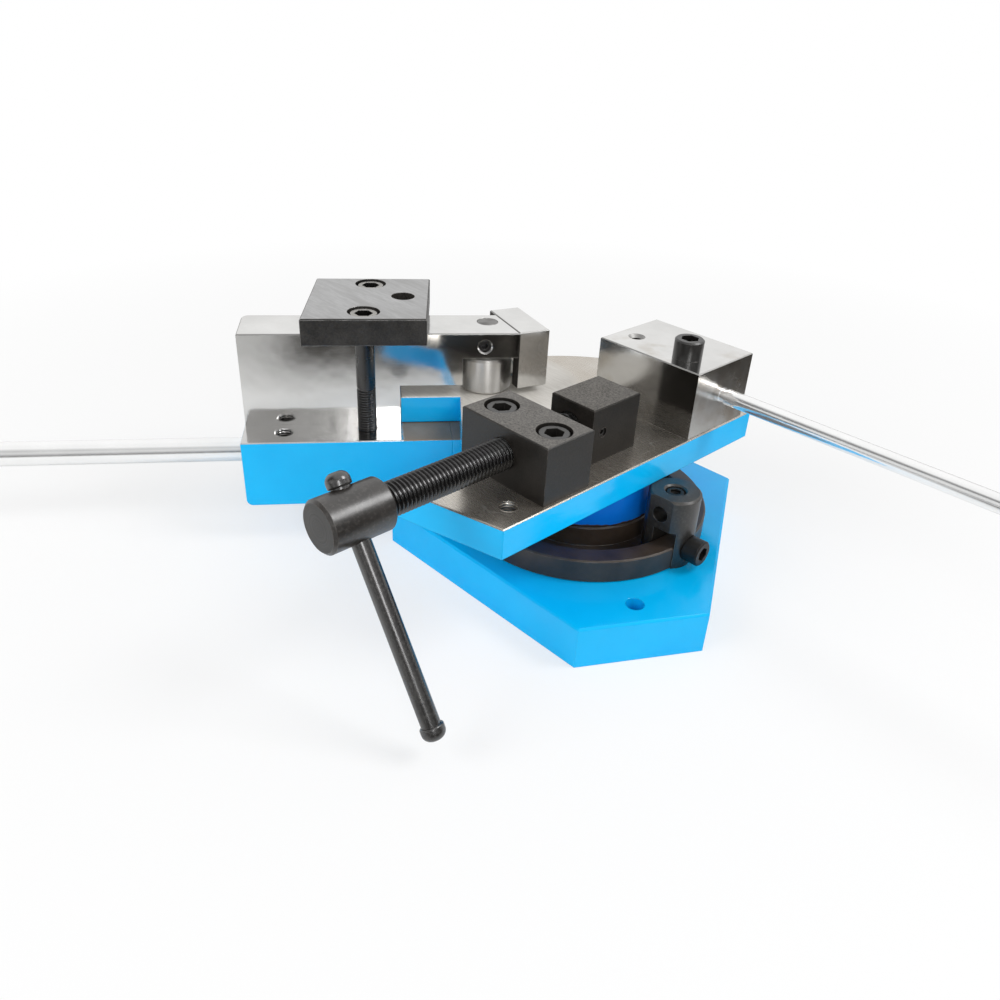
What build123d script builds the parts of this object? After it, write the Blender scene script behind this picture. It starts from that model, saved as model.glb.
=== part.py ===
from build123d import *
import os
from math import acos, cos, degrees, radians, sin, sqrt, tan

# Bench-mounted universal bender for flat bar. Millimetres, +Z up.
# The origin is on the turntable axis at the underside of the base plate.
# The clamp screw pushes its jaw along +Y, and the swing arm has a frame of its own at its pivot:
# u runs along the arm towards the pivot's far side, v runs to the back of the arm.

# Clearances
running_gap = 0.05
thread_gap = 0.05
press_gap = 0.03
bolt_gap = 0.5
slide_gap = 0.1
turn_gap = 0.3

# Cutters run past the faces they open by this much
past = 1.0

# Base plate: a triangle with its corners cut off
base_ring_margin = 12.665
base_short_edge = 78.0
base_thickness = 27.0
base_edge_break = 1.2
base_hole_diameter = 11.0
base_hole_inset = 16.3
base_facings = (-90.0, 30.0, 150.0)

# Turntable ring, fixed to the base
ring_radius = 80.0
ring_height = 15.0
ring_rim_width = 13.0
ring_floor = 5.0
ring_groove_width = 18.0
ring_hub_height = 18.0
ring_edge_break = 0.8
ring_screw_count = 6
bush_wall = 5.0
bush_flange_margin = 7.0
bush_flange_thickness = 3.0
boss_gap = 0.4

# Table, and the king post welded under it
table_thickness = 18.0
table_overhang = 32.0
table_side_margin = 2.5
table_front_reach = 143.0
table_front_skew = 13.2
table_waist_reach = 92.0
tail_root_inset = 19.0
table_edge_break = 0.7
table_corner_radius = 8.0
boss_step = 1.0
boss_height = 28.1
boss_weld = 2.5
spigot_radius = 25.0
table_thread_diameter = 10.2
table_thread_inset = 15.3
table_thread_reach = 108.5

# King retainer under the base
retainer_radius = 36.0
retainer_thickness = 8.0
retainer_recess = 2.0
washer_thickness = 2.0
retainer_screw_count = 3
retainer_screw_reach = 14.0

# Screws: thread, head and key sizes follow the metric series, and a head is as high as its thread is wide
m6 = 6.0
m8 = 8.0
m10 = 10.0
m12 = 12.0
m8_head = 13.0
m10_head = 16.0
m12_head = 18.0
m8_key = 6.0
m10_key = 8.0
m12_key = 10.0
m6_set_key = 3.0
m8_set_key = 4.0
m12_set_key = 6.0
head_lip_share = 0.05
set_lip_share = 0.08
set_socket_share = 0.4
countersunk_socket_depth = 2.8
ring_screw_engagement = 10.5
ring_hole_depth = 12.0
retainer_screw_engagement = 16.0
retainer_hole_depth = 20.0
table_screw_engagement = 15.3
beam_screw_engagement = 19.2
beam_hole_depth = 24.0
counterbore_gap = 1.0
counterbore_sink = 1.0

# Clamp screw, its block and its jaw
screw_axis_x = 19.7
screw_axis_height = 18.5
clamp_thread_diameter = 18.0
clamp_thread_length = 132.2
clamp_head_diameter = 27.5
clamp_head_length = 36.0
clamp_head_break = 1.5
clamp_tip_step = 3.0
clamp_tip_length = 22.0
tip_groove_depth = 2.0
tip_groove_width = 6.6
tip_groove_inset = 6.3
block_width = 65.0
block_depth = 35.6
block_height = 34.5
block_front = 95.4
block_screw_spacing = 40.0
block_edge_break = 0.6
jaw_width = 32.3
jaw_depth = 40.3
jaw_offset = 1.2
jaw_back = 42.6

# Tommy bar, slid down in the screw head
bar_diameter = 10.0
bar_length = 136.5
bar_turn = 146.6
bar_knob_diameter = 12.4
bar_knob_length = 7.5
bar_knob_cap = 2.0
bar_knob_dome = 4.5
bar_knob_lip = 1.0

# Counter block and the lever that screws into its side
counter_width = 76.0
counter_depth = 57.5
counter_height = 43.0
counter_front = 30.1
counter_side_margin = 1.2
counter_screw_inset_x = 21.4
counter_screw_inset_y = 17.4
counter_thread_diameter = 6.8
counter_thread_mouth = 11.0
counter_thread_depth = 24.0
counter_thread_inset_x = 13.3
counter_thread_inset_y = 19.9
right_lever_diameter = 10.0
lever_length = 300.0
lever_thread_depth = 22.0
lever_neck_length = 3.0
lever_neck_step = 0.8
right_lever_inset = 30.3
right_lever_height = 21.9

# Swing arm and its pivot
pivot_inset = 25.2
pivot_bearing = 186.3
arm_bearing = 54.3
arm_swing = 100.0
arm_gap = 0.5
arm_height = 44.7
arm_left = 157.5
arm_front_margin = 18.7
arm_back_margin = 11.8
arm_corner_radius = 4.0
arm_rim_clearance = 4.8
lug_radius = 26.0
lug_rim_clearance = 6.0
lug_shoulder = 12.0
arm_thread_diameter = 10.2
arm_thread_depth = 25.0
arm_thread_inset_u = 25.5
arm_thread_inset_v = 14.5
left_lever_diameter = 16.0
left_lever_height = 18.6
left_lever_v = -4.5

# Bending beam on the arm
beam_front = 22.0
beam_thickness = 35.0
beam_height = 61.5
beam_left_inset = 0.6
foot_end = 58.0
foot_gap = 0.5
overhang_rise = 26.5
pocket_gap = 0.8
pocket_rise = 45.0
beam_corner_radius = 5.0
beam_edge_break = 0.7
beam_screw_count = 3
beam_screw_margin = 14.0

# Nose block at the end of the beam
seam_angle = 17.5
seam_reach = 11.2
seam_gap = 0.1
nose_length = 21.3
nose_front = 25.7
nose_back = 20.2
nose_drop = 39.2
nose_lower_break = 1.2
nose_relief_gap = 4.25
nose_screw_v = -14.5
nose_screw_height = 8.5
nose_thread_depth = 11.6
nose_dowel_diameter = 4.0
nose_dowel_v = 7.0
nose_dowel_depth = 3.8
nose_dowel_length = 12.0

# Pivot pin, bushes, roller and the pin's retainers
pin_diameter = 14.0
pin_bush_wall = 3.0
pin_end = 1.2
pin_washer_width = 5.0
circlip_thickness = 1.2
circlip_width = 3.5
circlip_groove_depth = 0.7
circlip_mouth = 6.0
pivot_washer_width = 11.0
pivot_washer_sink = 1.5
pin_screw_u = -3.8
pin_screw_height = 52.5
pin_screw_sink = 1.6
pin_screw_mouth = 9.8
pin_flat_depth = 2.0
pin_flat_height = 11.0
roller_diameter = 34.0
roller_height = 23.7
roller_bush_wall = 2.0
roller_edge_break = 1.6
spot_face_gap = 9.0
spot_face_depth = 2.0

# Hold-down plate over the beam
plate_length = 74.8
plate_thickness = 16.7
plate_skew = 5.0
plate_right = 38.4
plate_bolt_u = -77.0
plate_front_gap = 0.5
plate_back_gap = 7.2
plate_front_margin = 13.5
plate_back_margin = 11.0
plate_hole_diameter = 15.0
plate_hole_inset = 16.3
plate_hole_v = 0.6
plate_edge_break = 0.8
plate_bolt_engagement = 22.0

# Stop post that straddles the rim of the ring
post_diameter = 31.4
post_inset = 5.3
post_bearing = 2.6
post_top_gap = 0.4
post_flat_depth = 2.2
post_slot_gap = 0.3
post_slot_rise = 10.0
post_bore_diameter = 10.0
post_bore_drop = 11.5
post_edge_break = 1.2
post_screw_height = 12.5
post_seat_inset = 0.6
post_set_length = 5.0
post_set_mouth = 14.0

# Heights worked out from the sizes above
base_top = base_thickness
rim_top = base_top + ring_height
hub_top = base_top + ring_hub_height
groove_floor = base_top + ring_floor
rim_inner = ring_radius - ring_rim_width
rim_middle = ring_radius - ring_rim_width / 2
boss_bottom = hub_top + boss_gap
table_bottom = boss_bottom + boss_height
table_top = table_bottom + table_thickness
spigot_bottom = retainer_recess + retainer_thickness
washer_top = spigot_bottom + washer_thickness
arm_top = table_bottom - arm_gap
arm_bottom = arm_top - arm_height
lug_bottom = rim_top + lug_rim_clearance
beam_top = arm_top + beam_height
block_top = table_top + block_height
counter_top = table_top + counter_height
screw_axis_z = table_top + screw_axis_height
spot_floor = table_top - spot_face_depth
plate_top = beam_top + plate_thickness
overhang_z = arm_top + overhang_rise
pocket_z = arm_top + pocket_rise

# Places in the plan, and radii that follow from others
ring_hub_radius = rim_inner - ring_groove_width
boss_radius = ring_hub_radius - boss_step
bush_outer = spigot_radius + running_gap + bush_wall
bush_flange_radius = ring_hub_radius - bush_flange_margin
base_long_edge = 6 * (ring_radius + base_ring_margin) / sqrt(3) - 2 * base_short_edge
table_disc_radius = ring_radius + table_overhang
post_reach = rim_middle - post_inset
clamp_tip_diameter = clamp_thread_diameter - 2 * clamp_tip_step
pocket_left = roller_diameter / 2 + pocket_gap
nose_relief_radius = roller_diameter / 2 + nose_relief_gap
spot_face_radius = roller_diameter / 2 + spot_face_gap
table_right = screw_axis_x + block_width / 2 + table_side_margin
table_left = screw_axis_x - block_width / 2 - table_side_margin
pivot_reach = table_disc_radius - pivot_inset
pivot_x = pivot_reach * cos(radians(pivot_bearing))
pivot_y = pivot_reach * sin(radians(pivot_bearing))
tail_radius = foot_end - foot_gap
beam_back = beam_thickness - beam_front
front_bolt_v = -beam_front - plate_front_gap - m12 / 2
back_bolt_v = beam_back + plate_back_gap + m12 / 2
arm_front = front_bolt_v - arm_front_margin
arm_back = back_bolt_v + arm_back_margin
counter_right = table_right - counter_side_margin
counter_left = counter_right - counter_width
head_end_y = -jaw_back - clamp_thread_length - clamp_head_length
head_middle_y = head_end_y + clamp_head_length / 2
pin_radius = pin_diameter / 2
pin_bush_outer = pin_radius + running_gap + pin_bush_wall
pin_washer_radius = pin_radius + pin_washer_width
circlip_radius = pin_radius + circlip_width
pivot_washer_radius = pin_radius + pivot_washer_width
circlip_bottom = lug_bottom - washer_thickness - circlip_thickness
pin_bottom = circlip_bottom - pin_end

arm_place = Pos(pivot_x, pivot_y, 0) * Rot(0, 0, arm_bearing)
nose_place = arm_place * Rot(0, 0, seam_angle)
post_place = Rot(0, 0, post_bearing)
bar_place = Pos(screw_axis_x, head_middle_y, screw_axis_z) * Rot(0, bar_turn, 0)
screw_place = Pos(screw_axis_x, head_end_y, screw_axis_z) * Rot(-90, 0, 0)


def polar(radius, bearing):
    """Point of the plan at a radius and a bearing in degrees."""
    return radius * cos(radians(bearing)), radius * sin(radians(bearing))


def block(x_range, y_range, z_range):
    """Box between two corners."""
    middles = [(low + high) / 2 for low, high in (x_range, y_range, z_range)]
    sizes = [high - low for low, high in (x_range, y_range, z_range)]
    return Pos(*middles) * Box(*sizes)


def column(radius, bottom, top, x=0.0, y=0.0):
    """Upright cylinder."""
    return Pos(x, y, (bottom + top) / 2) * Cylinder(radius, top - bottom)


def turned(profile):
    """Solid of revolution about Z from points of radius and height."""
    outline = Polyline([(radius, 0, height) for radius, height in profile], close=True)
    return revolve(make_face(outline), Axis.Z)


def tube(inner, outer, bottom, top):
    """Plain bush or washer about Z."""
    return turned([(inner, bottom), (outer, bottom), (outer, top), (inner, top)])


def break_edges(solid, size, axis=Axis.Z):
    """Chamfer the edges round the highest face of a solid."""
    return chamfer(solid.faces().sort_by(axis)[-1].edges(), size)


def hexagon(key, depth):
    """Prism of a hexagon socket, up from Z 0."""
    return extrude(RegularPolygon(key / 2, 6, major_radius=False), depth, dir=(0, 0, 1))


def cap_screw(thread, head, key, length):
    """Socket head screw that hangs from the underside of its head at Z 0."""
    lip = head * head_lip_share
    shank = thread / 2 - thread_gap
    screw = turned([
        (0, -length), (shank - lip, -length), (shank, -length + lip), (shank, 0), (head / 2, 0),
        (head / 2, thread - lip), (head / 2 - lip, thread), (0, thread),
    ])
    return screw - Pos(0, 0, thread / 2) * hexagon(key, thread / 2)


def set_screw(thread, key, length):
    """Headless screw with its socket at Z 0 and its tip below."""
    radius = thread / 2 - thread_gap
    lip = thread * set_lip_share
    screw = turned([
        (0, -length), (radius - lip, -length), (radius, -length + lip),
        (radius, -lip), (radius - lip, 0), (0, 0),
    ])
    socket_depth = length * set_socket_share
    return screw - Pos(0, 0, -socket_depth) * hexagon(key, socket_depth)


def ring_screw_places():
    """Screws that come up through the base into the rim of the ring."""
    step = 360.0 / ring_screw_count
    return [polar(rim_middle, step * (index + 0.5)) for index in range(ring_screw_count)]


def retainer_screw_places():
    """Countersunk screws that hold the king retainer to the spigot."""
    step = 360.0 / retainer_screw_count
    return [polar(retainer_screw_reach, step * index) for index in range(retainer_screw_count)]


def base_plate():
    """Triangular plate with cut corners, bolt holes and a pocket for the king retainer."""
    long_edge_reach = (base_long_edge + 2 * base_short_edge) * sqrt(3) / 6
    short_edge_reach = (2 * base_long_edge + base_short_edge) * sqrt(3) / 6
    corners = []
    for facing in base_facings:
        middle = Vector(*polar(long_edge_reach, facing))
        along = Vector(*polar(base_long_edge / 2, facing + 90))
        corners += [middle - along, middle + along]
    plate = extrude(make_face(Polyline(corners, close=True)), base_thickness, dir=(0, 0, 1))
    plate = break_edges(plate, base_edge_break)
    for facing in base_facings:
        x, y = polar(short_edge_reach - base_hole_inset, facing + 180)
        plate -= column(base_hole_diameter / 2, -past, base_top + past, x, y)
    plate -= column(bush_outer, -past, base_top + past)
    plate -= column(retainer_radius + counterbore_gap, -past, washer_top)
    seat = counterbore_sink + m8
    for x, y in ring_screw_places():
        plate -= column(m8 / 2 + bolt_gap, -past, base_top + past, x, y)
        plate -= column(m8_head / 2 + counterbore_gap, -past, seat, x, y)
    return plate


def turntable_ring():
    """Round track with a rim for the stop post and a hub that carries the table."""
    lip = ring_edge_break
    bore = bush_outer + press_gap
    recess = hub_top - bush_flange_thickness + boss_gap
    flange = bush_flange_radius + press_gap
    ring = turned([
        (bore, base_top), (ring_radius - lip, base_top), (ring_radius, base_top + lip),
        (ring_radius, rim_top - lip), (ring_radius - lip, rim_top), (rim_inner + lip, rim_top),
        (rim_inner, rim_top - lip), (rim_inner, groove_floor), (ring_hub_radius, groove_floor),
        (ring_hub_radius, hub_top - lip), (ring_hub_radius - lip, hub_top), (flange, hub_top),
        (flange, recess), (bore, recess),
    ])
    for x, y in ring_screw_places():
        ring -= column(m8 / 2, base_top - past, base_top + ring_hole_depth, x, y)
    return ring


def ring_screws():
    """Screws from under the base into the ring."""
    seat = counterbore_sink + m8
    length = base_top - seat + ring_screw_engagement
    screw = Rot(180, 0, 0) * cap_screw(m8, m8_head, m8_key, length)
    return [Pos(x, y, seat) * screw for x, y in ring_screw_places()]


def turntable_bush():
    """Flanged bronze bush in the hub, under the table's boss."""
    bore = spigot_radius + running_gap
    flange_bottom = boss_bottom - bush_flange_thickness
    return turned([
        (bore, base_top), (bush_outer, base_top), (bush_outer, flange_bottom),
        (bush_flange_radius, flange_bottom), (bush_flange_radius, boss_bottom), (bore, boss_bottom),
    ])


def thrust_washer():
    """Bronze washer between the base and the king retainer."""
    return tube(bush_outer + counterbore_gap, retainer_radius, spigot_bottom, washer_top)


def table_outline():
    """Plan of the table: a disc with a straight side, a screw arm and a tail round the pivot."""
    pivot = Vector(pivot_x, pivot_y)
    along = Vector(*polar(1, arm_bearing))
    back = Vector(*polar(1, arm_bearing + 90))
    side_end = sqrt(table_disc_radius ** 2 - table_right ** 2)
    swing = (table_disc_radius ** 2 - pivot_reach ** 2 - tail_radius ** 2) / (2 * pivot_reach * tail_radius)
    meet_bearing = pivot_bearing - degrees(acos(swing))
    meet = pivot + Vector(*polar(tail_radius, meet_bearing))
    tail_end = pivot - along * tail_radius
    tail_corner = tail_end - back * beam_front
    tail_root = pivot - along * tail_root_inset - back * beam_front
    front_rise = (table_right - table_left) * tan(radians(table_front_skew))
    front_right = Vector(table_right, front_rise - table_front_reach)
    side_top = Vector(table_right, side_end)
    disc_middle = Vector(*polar(table_disc_radius, 95))
    tail_middle = pivot + Vector(*polar(tail_radius, (meet_bearing + arm_bearing + 180) / 2))
    waist = Vector(table_left, -table_waist_reach)
    front_left = Vector(table_left, -table_front_reach)
    edges = [
        Line(front_right, side_top),
        ThreePointArc(side_top, disc_middle, meet),
        ThreePointArc(meet, tail_middle, tail_end),
        Line(tail_end, tail_corner),
        Line(tail_corner, tail_root),
        Line(tail_root, waist),
        Line(waist, front_left),
        Line(front_left, front_right),
    ]
    outline = make_face(edges)
    for inner_corner in (meet, waist):
        corner = outline.vertices().sort_by_distance(inner_corner)[0]
        outline = fillet(corner, table_corner_radius)
    return outline


def block_screw_places():
    """Screws that hold the screw block to the table."""
    y = -block_front + block_depth / 2
    return [(screw_axis_x + side * block_screw_spacing / 2, y) for side in (-1, 1)]


def counter_screw_place():
    """Screw that holds the counter block to the table."""
    return counter_right - counter_screw_inset_x, counter_front + counter_screw_inset_y


def table():
    """Machined plate that carries the blocks, with a spot face round the pivot."""
    plate = Pos(0, 0, table_bottom) * extrude(table_outline(), table_thickness, dir=(0, 0, 1))
    plate = break_edges(plate, table_edge_break)
    for x, y in block_screw_places() + [counter_screw_place()]:
        plate -= column(m12 / 2, table_bottom - past, table_top + past, x, y)
    x, y = table_right - table_thread_inset, -table_thread_reach
    plate -= column(table_thread_diameter / 2, table_bottom - past, table_top + past, x, y)
    plate -= column(spot_face_radius, spot_floor, table_top + past, pivot_x, pivot_y)
    plate -= column(pin_bush_outer + press_gap, table_bottom - past, table_top, pivot_x, pivot_y)
    return plate


def king_post():
    """Round boss welded under the table, with the spigot that turns in the base."""
    lip = boss_weld
    post = turned([
        (0, spigot_bottom), (spigot_radius, spigot_bottom), (spigot_radius, boss_bottom),
        (boss_radius, boss_bottom), (boss_radius, table_bottom - lip), (boss_radius + lip, table_bottom),
        (0, table_bottom),
    ])
    for x, y in retainer_screw_places():
        post -= column(m8 / 2, spigot_bottom - past, spigot_bottom + retainer_hole_depth, x, y)
    return post


def king_retainer():
    """Disc under the base that keeps the table's spigot from lifting."""
    disc = column(retainer_radius, retainer_recess, spigot_bottom)
    for x, y in retainer_screw_places():
        disc -= Pos(x, y, 0) * countersink(m8 + 2 * bolt_gap, 2 * m8 + 2 * press_gap)
        disc -= column(m8 / 2 + bolt_gap, retainer_recess, spigot_bottom + past, x, y)
    return disc


def countersink(narrow, wide):
    """Ninety degree cone that opens downwards at the retainer's underside."""
    height = (wide - narrow) / 2
    return turned([
        (0, retainer_recess), (wide / 2, retainer_recess), (narrow / 2, retainer_recess + height),
        (0, retainer_recess + height),
    ])


def retainer_screws():
    """Countersunk screws from the retainer into the spigot."""
    shank = m8 / 2 - thread_gap
    head = m8
    length = retainer_thickness + retainer_screw_engagement
    screw = turned([(0, 0), (head, 0), (shank, head - shank), (shank, length), (0, length)])
    screw -= hexagon(m8_key, countersunk_socket_depth)
    return [Pos(x, y, retainer_recess) * screw for x, y in retainer_screw_places()]


def along_screw(radius, start, end):
    """Cylinder on the clamp screw's axis between two places along Y."""
    middle = (start + end) / 2
    return Pos(screw_axis_x, middle, screw_axis_z) * Rot(90, 0, 0) * Cylinder(radius, end - start)


def screw_block():
    """Nut block of the clamp screw, bolted down through two counterbores."""
    half = block_width / 2
    back = -block_front + block_depth
    solid = block((screw_axis_x - half, screw_axis_x + half), (-block_front, back), (table_top, block_top))
    solid = break_edges(solid, block_edge_break)
    solid -= along_screw(clamp_thread_diameter / 2 + thread_gap, -block_front - past, back + past)
    seat = block_top - counterbore_sink - m12
    for x, y in block_screw_places():
        solid -= column(m12 / 2 + bolt_gap, table_top - past, block_top + past, x, y)
        solid -= column(m12_head / 2 + counterbore_gap, seat, block_top + past, x, y)
    return solid


def block_screws():
    """Two socket head screws of the screw block."""
    seat = block_top - counterbore_sink - m12
    length = seat - table_top + table_screw_engagement
    screw = cap_screw(m12, m12_head, m12_key, length)
    return [Pos(x, y, seat) * screw for x, y in block_screw_places()]


def clamp_screw():
    """Screw with a cross-drilled head and a grooved tip that the jaw turns on."""
    lip = clamp_head_break
    head = clamp_head_diameter / 2
    thread = clamp_thread_diameter / 2
    tip = clamp_tip_diameter / 2
    head_end = clamp_head_length
    thread_end = head_end + clamp_thread_length
    groove = thread_end + tip_groove_inset
    groove_end = groove + tip_groove_width
    groove_radius = tip - tip_groove_depth
    tip_end = thread_end + clamp_tip_length - lip
    screw = turned([
        (0, 0), (head - lip, 0), (head, lip), (head, head_end - lip), (head - lip, head_end),
        (thread, head_end), (thread, thread_end), (tip, thread_end), (tip, groove),
        (groove_radius, groove), (groove_radius, groove_end), (tip, groove_end),
        (tip, tip_end - lip), (tip - lip, tip_end), (0, tip_end),
    ])
    bar_hole = bar_place * Cylinder(bar_diameter / 2 + running_gap, 2 * clamp_head_diameter)
    return screw_place * screw - bar_hole


def jaw():
    """Sliding jaw on the tip of the clamp screw."""
    middle = screw_axis_x + jaw_offset
    half = jaw_width / 2
    back = -jaw_back + slide_gap
    front = -jaw_back + jaw_depth
    bottom = table_top + slide_gap
    solid = block((middle - half, middle + half), (back, front), (bottom, block_top))
    solid = break_edges(solid, block_edge_break)
    bore = clamp_tip_diameter / 2 + running_gap
    solid -= along_screw(bore, -jaw_back - past, -jaw_back + clamp_tip_length)
    side = middle + half
    screw_y = -jaw_back + tip_groove_inset + tip_groove_width / 2
    reach = side - screw_axis_x
    grub_hole = Rot(0, 90, 0) * Cylinder(m6 / 2, reach + past)
    return solid - Pos(screw_axis_x + (reach + past) / 2, screw_y, screw_axis_z) * grub_hole


def jaw_grub_screw():
    """Grub screw that keeps the clamp screw's tip in the jaw."""
    side = screw_axis_x + jaw_offset + jaw_width / 2
    groove_radius = clamp_tip_diameter / 2 - tip_groove_depth
    length = side - press_gap - counterbore_sink - screw_axis_x - groove_radius - turn_gap
    screw_y = -jaw_back + tip_groove_inset + tip_groove_width / 2
    screw = Rot(0, 90, 0) * set_screw(m6, m6_set_key, length)
    return Pos(side - counterbore_sink, screw_y, screw_axis_z) * screw


def bar_span():
    """Ends of the tommy bar along its own axis, measured from the clamp screw's axis."""
    upper = -clamp_head_diameter / 2 - turn_gap - bar_knob_length
    return upper, upper + bar_length


def tommy_bar():
    """Plain bar through the head of the clamp screw."""
    upper, lower = bar_span()
    radius = bar_diameter / 2
    return bar_place * column(radius, upper + bar_knob_cap, lower - bar_knob_cap)


def bar_knob(tip, towards):
    """Domed knob on one end of the tommy bar."""
    knob = column(bar_knob_diameter / 2, 0, bar_knob_length)
    knob = fillet(knob.faces().sort_by(Axis.Z)[0].edges(), bar_knob_dome)
    knob = fillet(knob.faces().sort_by(Axis.Z)[-1].edges(), bar_knob_lip)
    knob -= column(bar_diameter / 2 + press_gap, bar_knob_cap, bar_knob_length + past)
    facing = 0 if towards > 0 else 180
    return bar_place * Pos(0, 0, tip) * Rot(facing, 0, 0) * knob


def tommy_bar_knobs():
    """Knobs that keep the bar in the screw head."""
    upper, lower = bar_span()
    return [bar_knob(upper, 1), bar_knob(lower, -1)]


def counter_block():
    """Polished block that the jaw squeezes the work against."""
    back = counter_front + counter_depth
    solid = block((counter_left, counter_right), (counter_front, back), (table_top, counter_top))
    solid = break_edges(solid, block_edge_break)
    x, y = counter_screw_place()
    solid -= column(m12 / 2 + bolt_gap, table_top - past, counter_top + past, x, y)
    thread_x = counter_left + counter_thread_inset_x
    thread_y = counter_front + counter_thread_inset_y
    thread = counter_thread_diameter / 2
    mouth = counter_thread_mouth / 2
    floor = counter_top - counter_thread_depth
    cone = counter_top - mouth + thread
    solid -= Pos(thread_x, thread_y, 0) * turned([
        (0, floor), (thread, floor), (thread, cone), (mouth, counter_top), (0, counter_top),
    ])
    lever_y = counter_front + right_lever_inset
    hole = Rot(0, 90, 0) * Cylinder(right_lever_diameter / 2 + thread_gap, 2 * lever_thread_depth)
    return solid - Pos(counter_right, lever_y, table_top + right_lever_height) * hole


def counter_block_screw():
    """Socket head screw that stands proud on the counter block."""
    x, y = counter_screw_place()
    length = counter_height + table_screw_engagement
    return Pos(x, y, counter_top) * cap_screw(m12, m12_head, m12_key, length)


def lever(diameter):
    """Chromed rod along Z with a threaded end below Z 0 and a rounded far end."""
    radius = diameter / 2
    lip = lever_neck_step
    neck = radius - lip
    root = turned([
        (0, turn_gap - lever_thread_depth), (neck, turn_gap - lever_thread_depth),
        (radius, turn_gap - lever_thread_depth + lip), (radius, 0), (neck, 0), (neck, lever_neck_length),
        (radius, lever_neck_length + lip), (radius, lever_length - radius), (0, lever_length - radius),
    ])
    return root + Pos(0, 0, lever_length - radius) * Sphere(radius)


def right_lever():
    """Lever in the side of the counter block."""
    y = counter_front + right_lever_inset
    return Pos(counter_right, y, table_top + right_lever_height) * Rot(0, 90, 0) * lever(right_lever_diameter)


def left_lever():
    """Lever in the end of the swing arm."""
    place = Pos(-arm_left, left_lever_v, arm_bottom + left_lever_height) * Rot(0, -90, 0)
    return arm_place * place * lever(left_lever_diameter)


def pivot_bush():
    """Bronze bush in the table for the pivot pin."""
    bore = pin_radius + running_gap
    return Pos(pivot_x, pivot_y, 0) * tube(bore, pin_bush_outer, table_bottom, spot_floor)


def arm_end():
    """Place along the arm where its body stops short of the ring, at rest and at full swing."""
    clear = ring_radius + arm_rim_clearance
    ends = []
    for swing, side in ((0.0, arm_front), (arm_swing, arm_back)):
        u, v = polar(pivot_reach, pivot_bearing + 180 - arm_bearing + swing)
        ends.append(u - sqrt(clear ** 2 - (side - v) ** 2))
    return min(ends)


def beam_screw_places():
    """Places along the foot of the beam for the screws from below."""
    first = -arm_left + lever_thread_depth + beam_screw_margin
    last = -foot_end - beam_screw_margin
    step = (last - first) / (beam_screw_count - 1)
    return [first + step * index for index in range(beam_screw_count)]


def plate_lean(v):
    """Shift along the arm of the plate's ends and bolts, which stand askew to the beam."""
    return v * tan(radians(plate_skew))


def plate_bolt_places():
    """Bolts of the hold-down plate, before and behind the beam."""
    return [(plate_bolt_u + plate_lean(v), v) for v in (front_bolt_v, back_bolt_v)]


def swing_arm():
    """Heavy arm beside the table, with a machined ledge for the beam."""
    end = arm_end()
    arm = block((-arm_left, end), (arm_front, arm_back), (arm_bottom, arm_top))
    lower_left = arm.edges().filter_by(Axis.Y).sort_by(Axis.X)[:2].sort_by(Axis.Z)[0]
    arm = fillet(lower_left, arm_corner_radius)
    ledge_edges = arm.edges().group_by(Axis.Z)[-1].sort_by(Axis.X)[:-1]
    arm = chamfer(ledge_edges, table_edge_break)
    bolt_floor = arm_top - plate_bolt_engagement - turn_gap
    for u, v in plate_bolt_places():
        arm -= column(m12 / 2, bolt_floor, arm_top + past, u, v)
    thread_u = -arm_left + arm_thread_inset_u
    thread_v = arm_front + arm_thread_inset_v
    arm -= column(arm_thread_diameter / 2, arm_top - arm_thread_depth, arm_top + past, thread_u, thread_v)
    seat = arm_bottom + counterbore_sink + m12
    for u in beam_screw_places():
        arm -= column(m12 / 2 + bolt_gap, arm_bottom - past, arm_top + past, u, left_lever_v)
        arm -= column(m12_head / 2 + counterbore_gap, arm_bottom - past, seat, u, left_lever_v)
    hole = Rot(0, 90, 0) * Cylinder(left_lever_diameter / 2 + thread_gap, 2 * lever_thread_depth)
    arm -= Pos(-arm_left, left_lever_v, arm_bottom + left_lever_height) * hole
    return arm_place * arm


def pivot_lug():
    """Lug welded to the end of the arm, for the pivot pin, with a shoulder that carries the ledge on."""
    end = arm_end()
    heights = (lug_bottom, arm_top)
    lug = block((end, 0), (-lug_radius, lug_radius), heights)
    lug += column(lug_radius, lug_bottom, arm_top)
    lug += block((end, -lug_shoulder), (arm_front, 0), heights)
    lug &= block((end, lug_radius + past), (arm_front, arm_back), heights)
    ledge_edges = lug.edges().group_by(Axis.Z)[-1].sort_by(Axis.X)[1:]
    lug = chamfer(ledge_edges, table_edge_break)
    lug -= column(pin_radius + press_gap, lug_bottom - past, arm_top + past)
    lug -= column(pivot_washer_radius + press_gap, arm_top - pivot_washer_sink, arm_top + past)
    return arm_place * lug


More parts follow.
